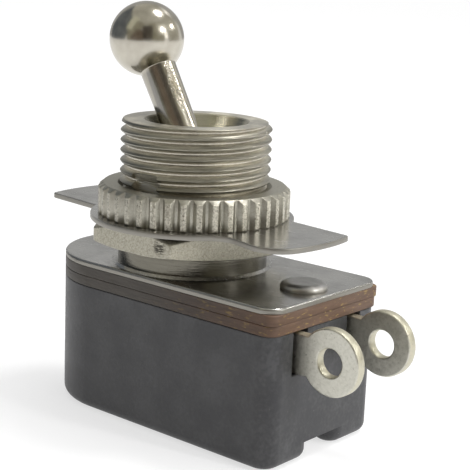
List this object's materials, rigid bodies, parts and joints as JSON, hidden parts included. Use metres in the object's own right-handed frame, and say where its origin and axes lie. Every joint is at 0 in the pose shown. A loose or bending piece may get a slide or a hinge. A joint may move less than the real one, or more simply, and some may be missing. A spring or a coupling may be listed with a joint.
{
  "type": "panel toggle switch",
  "caption": "Panel toggle switch with a ball-ended lever in a threaded bushing, nuts, an indicator plate and solder terminals on a moulded housing.",
  "frame": {"origin": "on the bushing's axis, in the plane the housing stands on", "axes": "+Z along the bushing towards the lever, +X along the housing towards the terminals, Y across it"},
  "size_m": [0.0325, 0.0162, 0.0325],
  "materials": {
    "bakelite": "satin moulded phenolic",
    "fibre": "punched vulcanised fibre",
    "plated_sheet": "nickel-plated sheet, semi-polished",
    "satin_nickel": "turned brass, satin nickel plate",
    "bright_nickel": "turned brass, bright nickel plate",
    "steel": "ground pin",
    "brass": "turned",
    "spring_steel": "spring temper",
    "phenolic": "moulded",
    "contact_brass": "rolled strip",
    "tinned_brass": "stamped, tinned"
  },
  "bodies": {
    "switch_body": {"housing": "bakelite", "lower_gasket": "fibre", "upper_gasket": "fibre", "cover_plate": "plated_sheet", "cover_rivet": "plated_sheet", "bushing": "satin_nickel", "hex_nut": "satin_nickel", "indicator_plate": "plated_sheet", "knurled_nut": "satin_nickel", "pivot_pin": "steel", "seat_ring": "brass", "wave_washer": "spring_steel", "retaining_ring": "spring_steel", "line_terminal": "tinned_brass", "load_terminal": "tinned_brass"},
    "lever_body": {"lever": "bright_nickel"},
    "slider_body": {"contact_slider": "phenolic", "bridge_contact": "contact_brass", "contact_spring": "spring_steel", "detent_spring": "spring_steel"}
  },
  "joints": [
    {"name": "lever_tilt", "type": "hinge", "parent": "switch_body", "child": "lever_body", "pos_m": [0, 0, 0.01985], "axis": [0, 1, 0], "range_deg": [0, 61]},
    {"name": "slider_travel", "type": "slide", "parent": "switch_body", "child": "slider_body", "axis": [1, 0, 0], "range_m": [-0.0047, 0], "deforming": ["detent_spring"]}
  ],
  "couplings": [
    {"joint": "slider_travel", "follows": "lever_tilt", "m_per_rad": -0.004386}
  ]
}
